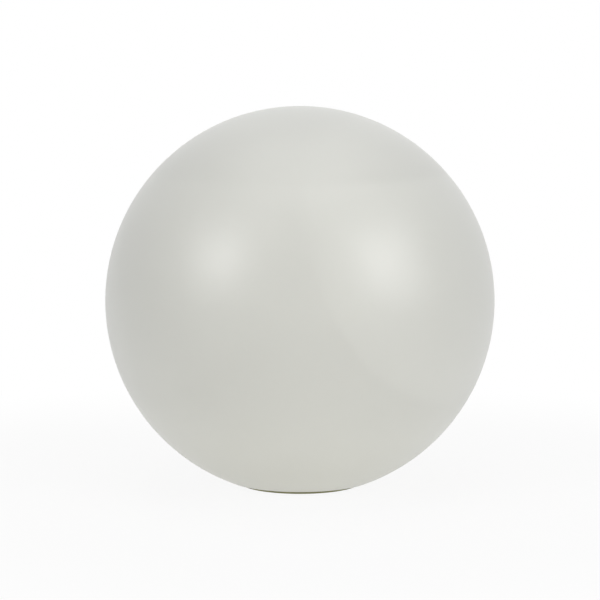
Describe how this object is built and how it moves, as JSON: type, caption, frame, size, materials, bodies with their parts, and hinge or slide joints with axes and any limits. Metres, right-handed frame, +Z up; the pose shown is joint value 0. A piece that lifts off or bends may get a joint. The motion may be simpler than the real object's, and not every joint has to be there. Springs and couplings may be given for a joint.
{
  "type": "garden globe light",
  "caption": "Free-standing outdoor ball light: a hollow white globe that unscrews from a sealed base module with cells, lamps, a push button and a hinged charging-port cover.",
  "frame": {"origin": "middle of the foot's underside, on the ground", "axes": "+Z up, -Y towards the viewer of the picture, +X to the right; the ball is round about Z"},
  "size_m": [0.3999, 0.4, 0.39],
  "materials": {
    "ball_plastic": "satin, faintly mottled milky white",
    "casing_plastic": "satin",
    "slip_plastic": "slick, semi-gloss",
    "foot_rubber": "matt",
    "seal_rubber": "matt",
    "cover_plastic": "fine spark texture",
    "soft_plastic": "matt",
    "vent_plastic": "matt",
    "clear_plastic": "clear, gloss",
    "spring_steel": "bright",
    "contact_nickel": "nickel plated",
    "brass": "knurled",
    "screw_steel": "zinc plated",
    "component_plastic": "matt",
    "connector_plastic": "matt",
    "capacitor_can": "satin",
    "socket_metal": "satin",
    "board_laminate": "solder mask",
    "lamp_board_coat": "white solder mask",
    "holder_plastic": "matt",
    "strap_fabric": "woven",
    "cell_wrap": "shrink sleeve",
    "lead_insulation": "twin, red and black",
    "spreader_aluminium": "brushed",
    "lamp_phosphor": "silicone over white body",
    "opal_plastic": "frosted"
  },
  "bodies": {
    "base": {"base_seal": "seal_rubber", "battery_cell_1": "cell_wrap", "battery_cell_2": "cell_wrap", "battery_connector": "connector_plastic", "battery_holder": "holder_plastic", "battery_lead": "lead_insulation", "battery_strap": "strap_fabric", "board_screws": "screw_steel", "bottom_cover": "cover_plastic", "cap_seal": "seal_rubber", "capacitor": "capacitor_can", "charge_chip": "component_plastic", "charge_socket": "socket_metal", "contact_bridge": "contact_nickel", "contact_leaf_1": "contact_nickel", "contact_leaf_2": "contact_nickel", "control_board": "board_laminate", "control_chip": "component_plastic", "cover_gasket": "seal_rubber", "cover_screw_1": "screw_steel", "cover_screw_2": "screw_steel", "cover_screw_3": "screw_steel", "cover_screw_4": "screw_steel", "foot_ring": "foot_rubber", "heat_spreader": "spreader_aluminium", "holder_screws": "screw_steel", "lamp_board": "lamp_board_coat", "lamp_connector": "connector_plastic", "lamp_lead": "lead_insulation", "lamp_screws": "screw_steel", "lamps": "lamp_phosphor", "light_cap": "opal_plastic", "light_pipe": "clear_plastic", "module_body": "casing_plastic", "power_inductor": "component_plastic", "power_switch": "component_plastic", "status_led": "clear_plastic", "vent_plug": "vent_plastic"},
    "turning_ring": {"slip_ring": "slip_plastic"},
    "ball": {"globe_shell": "ball_plastic", "neck_gasket": "seal_rubber", "neck_inserts": "brass", "neck_ring": "casing_plastic", "neck_screw_1": "screw_steel", "neck_screw_2": "screw_steel", "neck_screw_3": "screw_steel", "neck_screw_4": "screw_steel"},
    "button": {"power_button": "soft_plastic", "button_seal": "seal_rubber", "button_clip": "spring_steel", "switch_plunger": "slip_plastic"},
    "port_door": {"port_cover": "soft_plastic"}
  },
  "joints": [
    {"name": "ball_turn", "type": "hinge", "parent": "base", "child": "turning_ring", "pos_m": [0, 0, 0.007], "axis": [0, 0, 1], "range_deg": [0, 90]},
    {"name": "ball_rise", "type": "slide", "parent": "turning_ring", "child": "ball", "axis": [0, 0, 1], "range_m": [0, 0.01]},
    {"name": "button_press", "type": "slide", "parent": "base", "child": "button", "axis": [0, 0, 1], "range_m": [0, 0.001], "stiffness_N_per_m": 2500, "springref_m": -0.0006},
    {"name": "port_cover_swing", "type": "hinge", "parent": "base", "child": "port_door", "pos_m": [0.01, 0, 0.0081], "axis": [0, 1, 0], "range_deg": [0, 100]}
  ],
  "couplings": [
    {"joint": "ball_rise", "follows": "ball_turn", "m_per_rad": 0.0063662}
  ]
}
